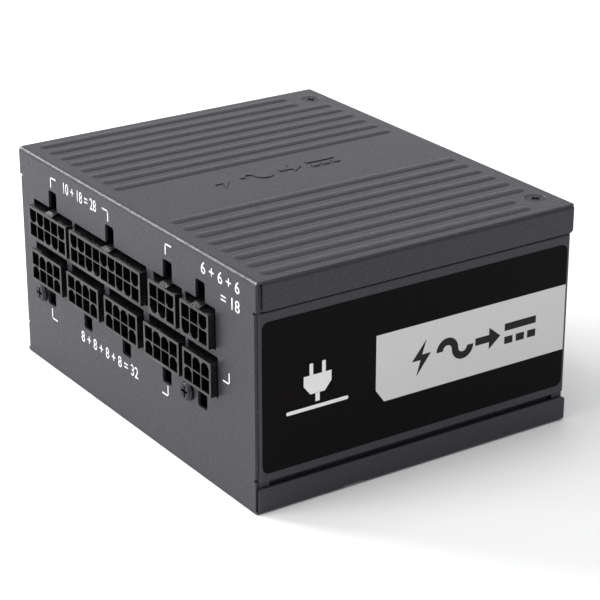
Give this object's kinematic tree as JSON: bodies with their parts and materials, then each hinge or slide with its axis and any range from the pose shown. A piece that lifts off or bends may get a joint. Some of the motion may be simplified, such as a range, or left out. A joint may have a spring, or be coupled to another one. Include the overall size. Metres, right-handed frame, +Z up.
{
  "type": "power supply unit",
  "caption": "Compact modular computer power supply in a ribbed sheet-metal case, with two rows of cable sockets, a mains inlet with rocker switch and a bottom fan.",
  "frame": {"origin": "under the middle of the case, on the surface that it stands on", "axes": "+Z up from the fan side to the ribbed top, +X towards the side with the large label, -Y out of the connector face, +Y out of the rear face"},
  "size_m": [0.125, 0.1037, 0.0635],
  "materials": {
    "bright_steel": "zinc plated steel",
    "can_sleeve": "sleeved aluminium can",
    "case_paint": "fine textured graphite powder coat",
    "circuit_board": "glass-epoxy board with dark solder mask",
    "contact_brass": "tinned brass",
    "copper": "enamelled copper",
    "dark_screw": "black oxide steel",
    "disc_blue": "blue dipped ceramic",
    "fan_plastic": "moulded black plastic, satin",
    "ferrite": "sintered ferrite, matt",
    "film_yellow": "yellow tape and resin case",
    "fuse_ceramic": "ceramic tube",
    "guard_wire": "black powder coated wire",
    "heatsink_alloy": "extruded aluminium",
    "inlet_plastic": "moulded black thermoplastic",
    "insulating_film": "black polypropylene film",
    "label_film": "satin printed polycarbonate film",
    "lamination": "stacked steel laminations",
    "lead_jacket": "silicone lead jacket",
    "magnet": "bonded ferrite ring",
    "package_black": "moulded epoxy",
    "rocker_plastic": "moulded black thermoplastic, polished",
    "socket_plastic": "moulded black nylon, satin",
    "standoff_brass": "turned brass",
    "sticker": "plain printed sticker"
  },
  "bodies": {
    "root": {"board_screws": "bright_steel", "board_standoffs": "standoff_brass", "body_wall": "case_paint", "bridge_rectifier": "package_black", "bulk_capacitor": "can_sleeve", "bus_bars": "copper", "common_mode_core": "ferrite", "common_mode_winding": "copper", "connector_board": "circuit_board", "connector_panel_screws": "dark_screw", "daughter_boards": "circuit_board", "fan_bearing": "standoff_brass", "fan_cover": "case_paint", "fan_cover_screws": "dark_screw", "fan_frame": "fan_plastic", "fan_guard": "guard_wire", "fan_lead": "lead_jacket", "fan_screws": "dark_screw", "fuse": "fuse_ceramic", "inlet_blades": "contact_brass", "inrush_relay": "package_black", "insulating_sheet": "insulating_film", "main_board": "circuit_board", "mains_inlet": "inlet_plastic", "mains_leads": "lead_jacket", "output_capacitors": "can_sleeve", "panel_standoffs": "standoff_brass", "pfc_choke_core": "ferrite", "pfc_choke_winding": "copper", "primary_heatsink": "heatsink_alloy", "rating_label": "label_film", "secondary_heatsink": "heatsink_alloy", "side_label": "label_film", "socket_10_pin": "socket_plastic", "socket_18_pin": "socket_plastic", "socket_6_pin_left": "socket_plastic", "socket_6_pin_lower": "socket_plastic", "socket_6_pin_right": "socket_plastic", "socket_8_pin_1": "socket_plastic", "socket_8_pin_2": "socket_plastic", "socket_8_pin_3": "socket_plastic", "socket_8_pin_4": "socket_plastic", "socket_pins": "contact_brass", "standby_transformer": "film_yellow", "stator_coils": "copper", "stator_core": "lamination", "switch_housing": "inlet_plastic", "switch_terminals": "contact_brass", "switching_transistors": "package_black", "top_cover": "case_paint", "top_cover_screws": "dark_screw", "transformer_core": "ferrite", "transformer_winding": "copper", "x_capacitor": "film_yellow", "y_capacitors": "disc_blue"},
    "fan": {"fan_rotor": "fan_plastic", "fan_shaft": "bright_steel", "rotor_magnet": "magnet", "fan_hub_sticker": "sticker"},
    "rocker": {"rocker": "rocker_plastic"}
  },
  "joints": [
    {"name": "fan_spin", "type": "hinge", "parent": "root", "child": "fan", "pos_m": [0, 0, 0.011], "axis": [0, 0, 1], "continuous": true},
    {"name": "rocker_tilt", "type": "hinge", "parent": "root", "child": "rocker", "pos_m": [0.009, 0.0478, 0.034], "axis": [-1, 0, 0], "range_deg": [0, 18]}
  ]
}
